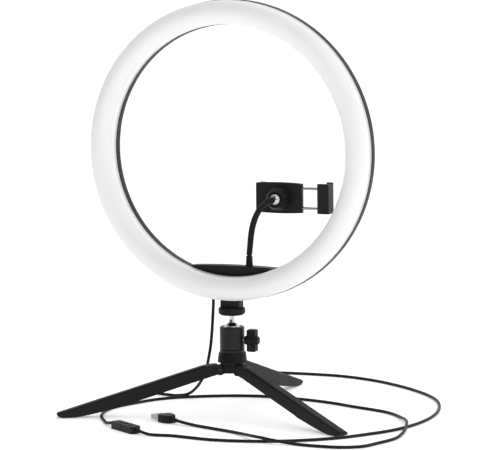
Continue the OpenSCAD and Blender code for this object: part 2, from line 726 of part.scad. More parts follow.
module hub_core() {
    pocket_w = (leg_w - barrel_w) / 2 + gap;
    color([0.05, 0.05, 0.055]) difference() {
        union() {
            difference() {
                translate([0, 0, hub_low]) cylinder(h = collar_low - hub_low, r = hub_r);
                for (a = leg_azimuth) rotate([0, 0, a]) for (s = [-1, 1])
                    translate([hinge_r, s * (barrel_w + pocket_w) / 2, hinge_z]) rotate([90, 0, 0])
                        cylinder(h = pocket_w, r = cheek_r, center = true);
            }
            translate([0, 0, collar_low - 1]) cylinder(h = head_low - collar_low + 1, r = 8 - touch);
            for (a = leg_azimuth) rotate([0, 0, a]) {
                translate([hinge_r, barrel_w / 2, hinge_z]) rotate([90, 0, 0]) cylinder(h = barrel_w, r = barrel_r);
                translate([6, -barrel_w / 2, hub_low]) cube([hinge_r - 6, barrel_w, hinge_z + barrel_r - hub_low]);
            }
        }
        for (a = leg_azimuth) rotate([0, 0, a])
            translate([hinge_r, 5, hinge_z]) rotate([90, 0, 0]) cylinder(h = 10, r = pin_r);
        translate([0, 0, hub_low - 1]) cylinder(h = 40, r = screw_m + 0.2);
        translate([0, 0, hub_low - 1]) cylinder(h = 4.2, r = 4.8);
        translate([0, 0, collar_low - 3.6]) difference() {
            cylinder(h = 0.7, r = hub_r + 1);
            translate([0, 0, -1]) cylinder(h = 3, r = hub_r - 0.5);
            for (a = leg_azimuth) rotate([0, 0, a]) translate([0, -leg_w / 2, -1]) cube([30, leg_w, 3]);
        }
    }
}

module hub_screw() {
    color("silver") difference() {
        union() {
            translate([0, 0, hub_low + 0.4]) cylinder(h = 2.8 - touch, r = 4.5);
            translate([0, 0, hub_low + 1]) cylinder(h = head_low + 4 - hub_low - 1, r = screw_m);
        }
        translate([0, 0, hub_low - 1]) cylinder(h = 3, r = 2, $fn = 6);
    }
}

// The side view of a leg: x is the distance from the centre, y the height
leg_slope = (leg_top_z - leg_tip_z) / (leg_reach - leg_shoulder_r);
leg_start = hinge_r + 1;
function leg_top(x) = leg_top_z - leg_slope * (x - leg_shoulder_r);
function leg_low(x) = leg_top(x) - leg_depth;
function arch(u) = [foot_r - u * arch_l, foot_z + (leg_low(foot_r - arch_l) - foot_z) * pow(u, 1.2)];

module leg_side() {
    polygon(concat(
        [[leg_start, leg_low(leg_start) + 0.6], [leg_start, leg_top_z - 0.6], [leg_start + 1.5, leg_top_z + 1.5],
            [leg_start + 6.5, leg_top_z + 1.3], [leg_shoulder_r, leg_top_z],
            [leg_reach - 0.8, leg_top(leg_reach - 0.8)], [leg_reach, leg_top(leg_reach) - 1.2],
            [leg_reach - 1.5, foot_z + 1.2], [foot_r + foot_l, foot_z]],
        [for (i = [0 : 8]) arch(i / 8)]
    ));
}

module leg() {
    channel_start = leg_start + 13;
    channel_end = foot_r - 12;
    difference() {
        union() {
            translate([0, leg_w / 2, 0]) rotate([90, 0, 0]) linear_extrude(leg_w) leg_side();
            translate([hinge_r, leg_w / 2, hinge_z]) rotate([90, 0, 0]) cylinder(h = leg_w, r = barrel_r);
        }
        translate([hinge_r, slot_w / 2, hinge_z]) rotate([90, 0, 0]) cylinder(h = slot_w, r = root_r);
        translate([0, -slot_w / 2, hinge_z - 15]) cube([hinge_r + 4, slot_w, 30]);
        translate([0, leg_w / 2 - leg_wall, 0]) rotate([90, 0, 0]) linear_extrude(leg_w - 2 * leg_wall) polygon([
            [channel_start, leg_top(channel_start) - leg_wall - 0.4], [channel_end, leg_top(channel_end) - leg_wall],
            [channel_end, -5], [channel_start, -5]
        ]);
        translate([hinge_r, 20, hinge_z]) rotate([90, 0, 0]) cylinder(h = 40, r = pin_r + fit);
        for (s = [-1, 1]) translate([leg_shoulder_r, s * leg_w / 2, leg_top_z])
            rotate([0, atan(leg_slope), 0]) rotate([45, 0, 0])
                translate([-2, -leg_chamfer / 2, -leg_chamfer / 2]) cube([leg_reach, leg_chamfer, leg_chamfer]);
        for (s = [-1, 1]) translate([0, s * leg_w / 2, 0]) rotate([90, 0, 0]) translate([0, 0, -0.6])
            linear_extrude(1.2) polygon([
                [leg_start + 6, leg_low(leg_start + 6) + 2.4], [foot_r - arch_l - 4, leg_low(foot_r - arch_l - 4) + 1.6],
                [foot_r - arch_l, leg_low(foot_r - arch_l) - 2], [leg_start + 6, leg_low(leg_start + 6) - 4]
            ]);
        translate([foot_r + 1, -pad_w / 2, -1]) cube([pad_l, pad_w, pad_h + 1 + touch]);
    }
}

module turned_leg(i) { color([0.05, 0.05, 0.055]) rotate([0, 0, leg_azimuth[i]]) leg(); }

module turned_pin(i) {
    color([0.1, 0.1, 0.1]) rotate([0, 0, leg_azimuth[i]]) translate([hinge_r, leg_w / 2 - 0.6, hinge_z]) rotate([90, 0, 0])
        cylinder(h = leg_w - 1.2, r = pin_r);
}

module turned_pad(i) {
    color([0.1, 0.1, 0.1]) rotate([0, 0, leg_azimuth[i]])
        translate([foot_r + 1 + touch, -pad_w / 2 + touch, 0])
            cube([pad_l - 2 * touch, pad_w - 2 * touch, pad_h]);
}

module leg_left() { turned_leg(0); }
module leg_right() { turned_leg(1); }
module leg_back() { turned_leg(2); }
module pin_left() { turned_pin(0); }
module pin_right() { turned_pin(1); }
module pin_back() { turned_pin(2); }
module foot_pad_left() { turned_pad(0); }
module foot_pad_right() { turned_pad(1); }
module foot_pad_back() { turned_pad(2); }

// ---------- lead ----------

function control_point(x, z) = [
    control_at[0] + x * cos(control_turn), control_at[1] + x * sin(control_turn), z
];
control_end = control_l / 2 + control_relief_l;
function usb_point(x, z) = [usb_at[0] + x * cos(usb_turn), usb_at[1] + x * sin(usb_turn), z];

module cord_drop() { color([0.04, 0.04, 0.04]) tube(drop_route); }

module cord_ring_side() {
    color([0.04, 0.04, 0.04]) tube(concat(on_floor(ring_side_route),
        [control_point(control_end + 1.5, control_cord_z), control_point(control_end + touch, control_cord_z)]));
}

module cord_usb_side() {
    color([0.04, 0.04, 0.04]) tube(concat(
        [control_point(-control_end - touch, control_cord_z), control_point(-control_end - 1.5, control_cord_z)],
        on_floor(usb_side_route),
        [usb_point(-usb_relief_l - 9, cord_z + 0.8), usb_point(-usb_relief_l - 1.5, usb_h / 2),
            usb_point(-usb_relief_l - touch, usb_h / 2)]));
}

module at_control(z = 0) {
    translate([control_at[0], control_at[1], z]) rotate([0, 0, control_turn]) children();
}

// The outline of the controller: a long box with cut corners
module control_outline(inset) {
    l = control_l / 2 - inset;
    w = control_w / 2 - inset;
    c = 1.8;
    polygon([
        [-l, -w + c], [-l + c, -w], [l - c, -w], [l, -w + c], [l, w - c], [l - c, w], [-l + c, w], [-l, w - c]
    ]);
}

module control_halves(low, high, wall_z) {
    difference() {
        translate([0, 0, low]) linear_extrude(high - low) control_outline(0);
        translate([0, 0, wall_z]) linear_extrude(control_h - 2.6) control_outline(1.3);
        for (s = [-1, 1]) translate([s * (control_l / 2 - 2), 0, control_cord_z]) rotate([0, 90, 0])
            cylinder(h = 8, r = 2.2, center = true);
    }
}

module control_base() {
    color([0.05, 0.05, 0.055]) at_control() control_halves(0, control_base_h - touch, 1.3);
}

module control_cover() {
    color([0.05, 0.05, 0.055]) at_control() difference() {
        control_halves(control_base_h, control_h, 1.3);
        for (x = button_x) translate([x, 0, control_h - 5]) cylinder(h = 10, r = button_r + 0.15);
    }
}

module button(i) {
    color("gainsboro") at_control() translate([button_x[i], 0, 0]) {
        translate([0, 0, control_h - 2.9]) cylinder(h = 1, r = button_r + 0.9);
        translate([0, 0, control_h - 2.4]) cylinder(h = 2.4 + button_up, r = button_r);
    }
}

module button_power() { button(0); }
module button_dimmer() { button(1); }
module button_colour() { button(2); }

module control_board() {
    color("darkgreen") at_control(2.2) translate([-control_l / 2 + 4.5, -control_w / 2 + 1.6, 0])
        cube([control_l - 9, control_w - 3.2, 1.2]);
}

module relief(l, neck, wide) {
    union() {
        translate([-3, 0, 0]) rotate([0, 90, 0]) cylinder(h = 3.2, r = neck);
        rotate([0, 90, 0]) cylinder(h = l, r1 = wide, r2 = cord_d / 2 + 0.4);
    }
}

module control_relief_ring() {
    color([0.04, 0.04, 0.04]) at_control(control_cord_z) translate([control_l / 2 + touch, 0, 0])
        relief(control_relief_l - touch, 2.1, 2.9);
}

module control_relief_usb() {
    color([0.04, 0.04, 0.04]) at_control(control_cord_z) rotate([0, 0, 180]) translate([control_l / 2 + touch, 0, 0])
        relief(control_relief_l - touch, 2.1, 2.9);
}

module at_usb(z = 0) {
    translate([usb_at[0], usb_at[1], z]) rotate([0, 0, usb_turn]) children();
}

module usb_body() {
    shell = [usb_shell_l, usb_shell_w + 2 * touch, usb_shell_h + 2 * touch];
    color([0.05, 0.05, 0.055]) at_usb() difference() {
        linear_extrude(usb_h) polygon([
            [0, -4], [0.8, -4.5], [6, -usb_w / 2], [usb_l - 1, -usb_w / 2], [usb_l, -usb_w / 2 + 1],
            [usb_l, usb_w / 2 - 1], [usb_l - 1, usb_w / 2], [6, usb_w / 2], [0.8, 4.5], [0, 4]
        ]);
        translate([usb_l - 6, -shell[1] / 2, usb_h / 2 - shell[2] / 2]) cube(shell);
        translate([-1, 0, usb_h / 2]) rotate([0, 90, 0]) cylinder(h = 4.2, r = 2.2);
    }
}

module usb_shell() {
    wall = 0.35;
    color("silver") at_usb() difference() {
        translate([usb_l - 6 + touch, -usb_shell_w / 2, (usb_h - usb_shell_h) / 2])
            cube([usb_shell_l + 6, usb_shell_w, usb_shell_h]);
        translate([usb_l - 5, -usb_shell_w / 2 + wall, (usb_h - usb_shell_h) / 2 + wall])
            cube([usb_shell_l + 10, usb_shell_w - 2 * wall, usb_shell_h - 2 * wall]);
        for (s = [-1, 1]) translate([usb_l + 6, s * 2.8 - 1.2, 0]) cube([2.6, 2.4, usb_h]);
    }
}

module usb_tongue() {
    color("white") at_usb() translate([usb_l - 5 + touch, -usb_shell_w / 2 + 0.4, usb_h / 2 + 0.1])
        cube([usb_shell_l + 3.5, usb_shell_w - 0.8, 1.7]);
}

module usb_relief() {
    color([0.04, 0.04, 0.04]) at_usb(usb_h / 2) rotate([0, 0, 180]) translate([touch, 0, 0])
        relief(usb_relief_l - touch, 2.1, 3.2);
}

// ---------- drawing ----------

diffuser();
rear_housing();
led_board();
leds();
housing_screws();
neck_shelf();
shelf_screws();
threaded_insert();
cord_grommet();
neck_base_sleeve();
neck_link_1();
neck_link_2();
neck_link_3();
neck_link_4();
neck_ball();
clamp_nut();
clamp_plate();
clamp_cover();
clamp_screws();
fixed_jaw_pad();
clamp_springs();
moving_jaw();
slide_rods();
moving_jaw_pad();
lock_disc();
stud();
ball();
ball_head_body();
friction_shoe();
lock_screw();
lock_knob();
hub_collar();
hub_core();
hub_screw();
leg_left();
leg_right();
leg_back();
pin_left();
pin_right();
pin_back();
foot_pad_left();
foot_pad_right();
foot_pad_back();
cord_drop();
cord_ring_side();
cord_usb_side();
control_base();
control_cover();
button_power();
button_dimmer();
button_colour();
control_board();
control_relief_ring();
control_relief_usb();
usb_body();
usb_shell();
usb_tongue();
usb_relief();
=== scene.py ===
"""Looks of a desk ring light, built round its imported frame. Lengths are in metres."""
import json
import math

import bmesh
import bpy
from mathutils import Matrix, Vector


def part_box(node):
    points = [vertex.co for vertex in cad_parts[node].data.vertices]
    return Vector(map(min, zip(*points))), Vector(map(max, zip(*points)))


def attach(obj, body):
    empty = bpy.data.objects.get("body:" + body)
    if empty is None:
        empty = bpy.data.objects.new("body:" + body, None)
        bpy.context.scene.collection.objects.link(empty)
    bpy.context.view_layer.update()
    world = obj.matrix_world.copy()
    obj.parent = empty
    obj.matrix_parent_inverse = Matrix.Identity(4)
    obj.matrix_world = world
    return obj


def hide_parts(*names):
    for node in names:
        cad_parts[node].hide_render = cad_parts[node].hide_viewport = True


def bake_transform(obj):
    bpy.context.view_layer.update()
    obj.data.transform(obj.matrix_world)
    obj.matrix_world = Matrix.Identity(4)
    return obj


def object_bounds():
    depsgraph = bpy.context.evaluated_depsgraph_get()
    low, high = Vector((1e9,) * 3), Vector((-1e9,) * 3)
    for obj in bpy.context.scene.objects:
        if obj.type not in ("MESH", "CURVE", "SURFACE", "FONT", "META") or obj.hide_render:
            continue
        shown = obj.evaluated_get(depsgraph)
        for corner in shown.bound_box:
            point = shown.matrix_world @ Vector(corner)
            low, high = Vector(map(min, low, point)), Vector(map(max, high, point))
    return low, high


MM = 0.001

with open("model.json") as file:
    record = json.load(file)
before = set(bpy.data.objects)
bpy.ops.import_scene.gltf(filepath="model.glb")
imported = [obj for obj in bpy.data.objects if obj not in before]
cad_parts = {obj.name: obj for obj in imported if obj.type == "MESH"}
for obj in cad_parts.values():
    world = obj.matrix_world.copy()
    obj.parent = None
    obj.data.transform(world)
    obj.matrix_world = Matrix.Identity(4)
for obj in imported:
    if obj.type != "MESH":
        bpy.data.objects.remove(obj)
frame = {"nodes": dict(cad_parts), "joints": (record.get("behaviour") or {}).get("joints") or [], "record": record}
CAD_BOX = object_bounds()


def mm(*values):
    """A point or a length given in millimetres."""
    return Vector(values) * MM if len(values) > 1 else values[0] * MM


# ---------- places that the frame gives ----------

def middle(node):
    """The centre of a node's box."""
    low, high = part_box(node)
    return (Vector(low) + Vector(high)) / 2


RING_LOW, RING_HIGH = (Vector(v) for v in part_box("diffuser"))
RING_CENTRE = (RING_LOW + RING_HIGH) / 2
RING_WIDTH = mm(23)
JOINTS = {j["name"]: j for j in frame["joints"]}
BODY_OF = {n: b for b, nodes in frame["record"]["behaviour"]["bodies"].items() for n in nodes}


# ---------- camera ----------

def add_camera():
    """The camera: a long lens, to the right of the ring and looking a little down."""
    distance, height = 2.766, 0.502
    side = math.radians(23.28)
    yaw, pitch, roll = math.radians(-0.38), math.radians(6.59), math.radians(-0.58)
    place = Vector((distance * math.sin(side), -distance * math.cos(side), height))
    turn = side + yaw
    forward = Vector((-math.sin(turn) * math.cos(pitch), math.cos(turn) * math.cos(pitch), -math.sin(pitch)))
    level = Vector((math.cos(turn), math.sin(turn), 0))
    right = level * math.cos(roll) + level.cross(forward) * math.sin(roll)
    up = right.cross(forward)
    data = bpy.data.cameras.new("camera")
    data.lens = 208.2
    data.sensor_width = 36
    data.clip_end = 50
    camera = bpy.data.objects.new("camera", data)
    camera.matrix_world = Matrix((right, up, -forward)).transposed().to_4x4()
    camera.location = place
    bpy.context.collection.objects.link(camera)
    bpy.context.scene.camera = camera


# ---------- mesh helpers ----------

def add_mesh(name, bm, material, body=None):
    """Turns a bmesh into a smooth-shaded object that rides on a body."""
    bmesh.ops.recalc_face_normals(bm, faces=bm.faces)
    data = bpy.data.meshes.new(name)
    bm.to_mesh(data)
    bm.free()
    for face in data.polygons:
        face.use_smooth = True
    piece = bpy.data.objects.new(name, data)
    data.materials.append(material)
    bpy.context.collection.objects.link(piece)
    if body:
        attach(piece, body)
    return piece


def apply_modifiers(piece):
    """Bakes a piece's modifiers into its mesh."""
    bpy.context.view_layer.update()
    graph = bpy.context.evaluated_depsgraph_get()
    data = bpy.data.meshes.new_from_object(piece.evaluated_get(graph))
    piece.modifiers.clear()
    piece.data = data


def catmull(points, step):
    """A smooth line through the points, with a point about every step along it."""
    ends = [points[0] * 2 - points[1], *points, points[-1] * 2 - points[-2]]
    line = []
    for a, b, c, d in zip(ends, ends[1:], ends[2:], ends[3:]):
        ta, tb = 0, (b - a).length ** 0.5
        tc = tb + (c - b).length ** 0.5
        td = tc + (d - c).length ** 0.5
        count = max(4, round((c - b).length / step * 2))
        for i in range(count):
            t = tb + (tc - tb) * i / count
            p = a + (b - a) * (t - ta) / (tb - ta)
            q = b + (c - b) * (t - tb) / (tc - tb)
            r = c + (d - c) * (t - tc) / (td - tc)
            u = p + (q - p) * (t - ta) / (tc - ta)
            v = q + (r - q) * (t - tb) / (td - tb)
            line.append(u + (v - u) * (t - tb) / (tc - tb))
    line.append(points[-1].copy())
    return even(line, step)


def line_length(line):
    """The length along a line of points."""
    return sum((b - a).length for a, b in zip(line, line[1:]))


def even(line, step):
    """The same line with its points spaced evenly."""
    total = line_length(line)
    count = max(2, round(total / step))
    out, done, i = [line[0].copy()], 0, 0
    for k in range(1, count):
        want = total * k / count
        while done + (line[i + 1] - line[i]).length < want:
            done += (line[i + 1] - line[i]).length
            i += 1
        span = (line[i + 1] - line[i]).length
        out.append(line[i].lerp(line[i + 1], (want - done) / span))
    out.append(line[-1].copy())
    return out


def sweep(line, radius, sides):
    """A closed tube round a line. radius gives its radius at a distance along the line."""
    bm = bmesh.new()
    rings, done = [], 0
    tangent = (line[1] - line[0]).normalized()
    side = tangent.cross(Vector((0, 0, 1)) if abs(tangent.z) < 0.9 else Vector((1, 0, 0))).normalized()
    for i, point in enumerate(line):
        near, far = line[max(i - 1, 0)], line[min(i + 1, len(line) - 1)]
        new = (far - near).normalized()
        side = tangent.rotation_difference(new) @ side
        tangent = new
        side = (side - tangent * side.dot(tangent)).normalized()
        other = tangent.cross(side)
        if i:
            done += (point - line[i - 1]).length
        r = radius(done)
        turns = [2 * math.pi * k / sides for k in range(sides)]
        rings.append([bm.verts.new(point + (side * math.cos(t) + other * math.sin(t)) * r) for t in turns])
    for a, b in zip(rings, rings[1:]):
        for k in range(sides):
            j = (k + 1) % sides
            bm.faces.new((a[k], a[j], b[j], b[k]))
    bm.faces.new(rings[0][::-1])
    bm.faces.new(rings[-1])
    return bm


def lathe(profile, centre, axis, count=64):
    """Turns a closed outline, of distances from the axis and along it, round an axis through centre."""
    bm = bmesh.new()
    axis = Vector(axis).normalized()
    side = axis.orthogonal().normalized()
    other = axis.cross(side)
    rings = []
    for k in range(count):
        t = 2 * math.pi * k / count
        out = side * math.cos(t) + other * math.sin(t)
        rings.append([bm.verts.new(centre + out * r + axis * h) for r, h in profile])
    n = len(profile)
    for k in range(count):
        a, b = rings[k], rings[(k + 1) % count]
        for i in range(n):
            j = (i + 1) % n
            bm.faces.new((a[i], a[j], b[j], b[i]))
    bmesh.ops.remove_doubles(bm, verts=bm.verts, dist=1e-7)
    return bm


def arc(centre_r, centre_h, a, b, start, end, count):
    """Points on an ellipse from start to end degrees."""
    turns = [math.radians(start + (end - start) * i / count) for i in range(count + 1)]
    return [(centre_r + a * math.cos(t), centre_h + b * math.sin(t)) for t in turns]


def softened(node, width, material):
    """A copy of a CAD node with its edges rounded, which stands for the node."""
    source = frame["nodes"][node]
    data = source.data.copy()
    data.transform(source.matrix_world)
    bm = bmesh.new()
    bm.from_mesh(data)
    bmesh.ops.remove_doubles(bm, verts=bm.verts, dist=2e-6)
    bmesh.ops.dissolve_limit(bm, angle_limit=math.radians(1), verts=bm.verts, edges=bm.edges)
    bm.to_mesh(data)
    bm.free()
    data.materials.clear()
    data.materials.append(material)
    if "custom_normal" in data.attributes:
        data.attributes.remove(data.attributes["custom_normal"])
    for face in data.polygons:
        face.use_smooth = True
    piece = bpy.data.objects.new(node + "_shell", data)
    bpy.context.collection.objects.link(piece)
    bevel = piece.modifiers.new("bevel", "BEVEL")
    bevel.width = mm(width)
    bevel.segments = 2
    bevel.limit_method = "ANGLE"
    bevel.angle_limit = math.radians(32)
    bevel.harden_normals = True
    bevel.use_clamp_overlap = True
    apply_modifiers(piece)
    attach(piece, BODY_OF[node])
    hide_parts(node)
    return piece


# ---------- materials ----------

def new_material(name, color, roughness, metallic=0.0, specular=0.5, coat=0.0, coat_roughness=0.1):
    """A principled material, and the tools to add detail to it."""
    material = bpy.data.materials.new(name)
    material.use_nodes = True
    tree = material.node_tree
    shader = tree.nodes["Principled BSDF"]
    shader.inputs["Base Color"].default_value = (*color, 1)
    shader.inputs["Roughness"].default_value = roughness
    shader.inputs["Metallic"].default_value = metallic
    shader.inputs["Specular IOR Level"].default_value = specular
    shader.inputs["Coat Weight"].default_value = coat
    shader.inputs["Coat Roughness"].default_value = coat_roughness
    return material, tree, shader


def add_noise(tree, scale, detail=4, roughness=0.55, stretch=(1, 1, 1)):
    """Noise in the object's own coordinates, finer with a larger scale."""
    place = tree.nodes.new("ShaderNodeTexCoord")
    mapping = tree.nodes.new("ShaderNodeMapping")
    mapping.inputs["Scale"].default_value = stretch
    noise = tree.nodes.new("ShaderNodeTexNoise")
    noise.inputs["Scale"].default_value = scale
    noise.inputs["Detail"].default_value = detail
    noise.inputs["Roughness"].default_value = roughness
    tree.links.new(place.outputs["Object"], mapping.inputs["Vector"])
    tree.links.new(mapping.outputs["Vector"], noise.inputs["Vector"])
    return noise.outputs["Fac"]


def spread(tree, value, low, high, from_low=0.3, from_high=0.7):
    """Maps a value to a range."""
    node = tree.nodes.new("ShaderNodeMapRange")
    node.inputs["From Min"].default_value = from_low
    node.inputs["From Max"].default_value = from_high
    node.inputs["To Min"].default_value = low
    node.inputs["To Max"].default_value = high
    tree.links.new(value, node.inputs["Value"])
    return node.outputs["Result"]


def mix_colors(tree, factor, a, b):
    """Mixes two colours, each a value or an output."""
    node = tree.nodes.new("ShaderNodeMix")
    node.data_type = "RGBA"
    tree.links.new(factor, node.inputs["Factor"])
    for key, color in (("A", a), ("B", b)):
        socket = next(s for s in node.inputs if s.name == key and s.type == "RGBA")
        if isinstance(color, bpy.types.NodeSocket):
            tree.links.new(color, socket)
        else:
            socket.default_value = (*color, 1)
    return next(s for s in node.outputs if s.type == "RGBA")


def add_bump(tree, shader, height, strength, distance):
    """Bumps the surface by a height."""
    node = tree.nodes.new("ShaderNodeBump")
    node.inputs["Strength"].default_value = strength
    node.inputs["Distance"].default_value = distance
    tree.links.new(height, node.inputs["Height"])
    before = shader.inputs["Normal"].links
    if before:
        tree.links.new(before[0].from_socket, node.inputs["Normal"])
    tree.links.new(node.outputs["Normal"], shader.inputs["Normal"])


def edge_highlight_and_wear_mask(tree, low=0.52, high=0.6):
    """How sharp the surface's outward edges are, from 0 to 1."""
    place = tree.nodes.new("ShaderNodeNewGeometry")
    return spread(tree, place.outputs["Pointiness"], 0, 1, low, high)


def black_plastic(name, color, worn_and_highlit_color, grain_scale, roughness, bump=0.25, specular=0.11):
    """Moulded black plastic: spark-eroded grain, slow tone changes and sharp edges painted a little lighter,
    partly as rubbed wear and partly as painted highlight.
    """
    material, tree, shader = new_material(name, color, roughness, specular=specular)
    slow = add_noise(tree, 35, 3)
    fine = add_noise(tree, grain_scale, 2, 0.6)
    tone = mix_colors(tree, spread(tree, slow, 0, 1), color, tuple(c * 1.35 for c in color))
    # sharp edges painted lighter: partly rubbed wear, partly painted highlight
    rubbed_and_highlit = mix_colors(tree, edge_highlight_and_wear_mask(tree), tone, worn_and_highlit_color)
    tree.links.new(rubbed_and_highlit, shader.inputs["Base Color"])
    tree.links.new(spread(tree, slow, roughness - 0.05, roughness + 0.07), shader.inputs["Roughness"])
    add_bump(tree, shader, fine, bump, mm(0.05))
    return material


def metal(name, color, roughness, brushed=(1, 1, 1), scale=600, spots=0.04):
    """Polished or turned metal, with hairline marks and faint smudges."""
    material, tree, shader = new_material(name, color, roughness, metallic=1.0)
    hair = add_noise(tree, scale, 3, 0.6, brushed)
    smudge = add_noise(tree, 90, 4)
    tree.links.new(spread(tree, smudge, roughness, roughness + spots), shader.inputs["Roughness"])
    tone = mix_colors(tree, spread(tree, smudge, 0, 1), color, tuple(c * 0.9 for c in color))
    tree.links.new(tone, shader.inputs["Base Color"])
    add_bump(tree, shader, hair, 0.06, mm(0.02))
    return material


def diffuser_plastic():
    """Milky plastic lit from inside, with a glow that fades from the front towards the housing; the fade is
    painted shade on the diffuser's sides.
    """
    color = (0.93, 0.93, 0.93)
    material, tree, shader = new_material("lit diffuser", color, 0.34, coat=0.25, coat_roughness=0.12)
    place = tree.nodes.new("ShaderNodeTexCoord")
    split = tree.nodes.new("ShaderNodeSeparateXYZ")
    tree.links.new(place.outputs["Object"], split.inputs["Vector"])
    fine = add_noise(tree, 900, 2)
    cloudy = add_noise(tree, 22, 3)
    tone = mix_colors(tree, spread(tree, cloudy, 0, 1), color, (0.9, 0.905, 0.91))
    tree.links.new(tone, shader.inputs["Base Color"])
    # glow strongest at the front face, fading to none 7 mm back: the lamps' glow with painted shade towards the
    # housing
    front_glow_painted_shade = spread(tree, split.outputs["Y"], 0.1, 0.0, RING_LOW.y, RING_LOW.y + 0.007)
    shader.inputs["Emission Color"].default_value = (1, 1, 1, 1)
    tree.links.new(front_glow_painted_shade, shader.inputs["Emission Strength"])
    shader.inputs["Subsurface Weight"].default_value = 0.15
    shader.inputs["Subsurface Radius"].default_value = (0.004, 0.004, 0.004)
    add_bump(tree, shader, fine, 0.05, mm(0.03))
    return material


def lamp_material():
    """A lamp's yellow phosphor, glowing softly."""
    material, tree, shader = new_material("lamp", (1, 0.86, 0.45), 0.3)
    cells = add_noise(tree, 1500, 2)
    tree.links.new(mix_colors(tree, cells, (1, 0.8, 0.35), (1, 0.92, 0.6)), shader.inputs["Base Color"])
    shader.inputs["Emission Color"].default_value = (1, 0.93, 0.78, 1)
    shader.inputs["Emission Strength"].default_value = 1.2
    return material


def board_material(name, color, dark):
    """A printed board: lacquer over faint copper tracks."""
    material, tree, shader = new_material(name, color, 0.35, coat=0.4)
    tracks = add_noise(tree, 260, 1)
    lacquer = mix_colors(tree, spread(tree, tracks, 0, 1, 0.48, 0.52), color, dark)
    tree.links.new(lacquer, shader.inputs["Base Color"])
    add_bump(tree, shader, tracks, 0.2, mm(0.05))
    return material


def rubber_material(name, color, roughness, scale=700, bump=0.4):
    """Matte rubber with a fine grain and a dusty tone."""
    material, tree, shader = new_material(name, color, roughness, specular=0.14)
    dust = add_noise(tree, 60, 4)
    tree.links.new(mix_colors(tree, spread(tree, dust, 0, 1), color, tuple(c * 1.6 for c in color)),
                   shader.inputs["Base Color"])
    add_bump(tree, shader, add_noise(tree, scale, 2), bump, mm(0.05))
    return material


def button_material():
    """Dark button plastic, with a fine grain in its tone and gloss."""
    material, tree, shader = new_material("button", (0.03, 0.03, 0.031), 0.4, specular=0.2)
    grain = add_noise(tree, 500, 3)
    tree.links.new(mix_colors(tree, spread(tree, grain, 0, 1), (0.024, 0.024, 0.025), (0.036, 0.036, 0.038)),
                   shader.inputs["Base Color"])
    tree.links.new(spread(tree, grain, 0.32, 0.5), shader.inputs["Roughness"])
    add_bump(tree, shader, grain, 0.15, mm(0.03))
    return material


def floor_material():
    """A pale, softly mottled studio floor."""
    material, tree, shader = new_material("floor", (0.95, 0.95, 0.95), 0.75, specular=0.1)
    shader.inputs["Emission Color"].default_value = (1, 1, 1, 1)
    shader.inputs["Emission Strength"].default_value = 0.33
    mottle = add_noise(tree, 3, 4)
    tone = mix_colors(tree, mottle, (0.94, 0.94, 0.94), (0.97, 0.97, 0.97))
    tree.links.new(tone, shader.inputs["Base Color"])
    return material


# the second colour of each black is its edge colour, painted on sharp edges as rubbed wear and painted highlight
BLACK = black_plastic("black plastic", (0.0085, 0.0085, 0.009), (0.03, 0.03, 0.031), 1400, 0.42)
LEG_BLACK = black_plastic("leg plastic", (0.01, 0.01, 0.0105), (0.032, 0.032, 0.033), 1100, 0.5, bump=0.4)
BLACK_METAL = black_plastic("black painted metal", (0.009, 0.009, 0.0095), (0.045, 0.045, 0.047),
                            1800, 0.36, bump=0.12, specular=0.24)
CORD = rubber_material("lead skin", (0.011, 0.011, 0.011), 0.45, 900, 0.15)
SKIN = rubber_material("gooseneck skin", (0.012, 0.012, 0.012), 0.42, 900, 0.2)
RUBBER = rubber_material("rubber", (0.014, 0.014, 0.014), 0.7)
CHROME = metal("chrome", (0.62, 0.62, 0.64), 0.06)
STEEL = metal("turned steel", (0.6, 0.6, 0.62), 0.24, brushed=(1, 1, 12), scale=260)
ROD_CHROME = metal("chromed rod", (0.5, 0.5, 0.52), 0.16, brushed=(1, 14, 14), scale=240)
DARK_SCREW = metal("blackened screw", (0.05, 0.05, 0.052), 0.35)
BRASS = metal("brass", (0.75, 0.56, 0.26), 0.25)
USB_STEEL = metal("plated shell", (0.42, 0.42, 0.44), 0.22, brushed=(3, 3, 1), scale=400)
DIFFUSER = diffuser_plastic()
LAMP = lamp_material()
BOARD_WHITE = board_material("white board", (0.8, 0.8, 0.77), (0.72, 0.72, 0.68))
BOARD_GREEN = board_material("green board", (0.02, 0.16, 0.06), (0.012, 0.1, 0.04))
NYLON = rubber_material("nylon", (0.62, 0.6, 0.52), 0.5, 500, 0.1)
TONGUE = rubber_material("tongue", (0.55, 0.55, 0.54), 0.4, 500, 0.1)
BUTTON = button_material()

CAD_MATERIALS = {
    "led_board": BOARD_WHITE, "leds": LAMP, "housing_screws": DARK_SCREW, "shelf_screws": DARK_SCREW,
    "threaded_insert": BRASS, "cord_grommet": RUBBER, "neck_ball": CHROME, "clamp_screws": DARK_SCREW,
    "slide_rods": ROD_CHROME, "stud": CHROME, "ball": CHROME, "friction_shoe": NYLON,
    "lock_screw": STEEL, "hub_screw": STEEL,
    "pin_left": BLACK_METAL, "pin_right": BLACK_METAL, "pin_back": BLACK_METAL,
    "control_board": BOARD_GREEN, "usb_shell": USB_STEEL, "usb_tongue": TONGUE,
}

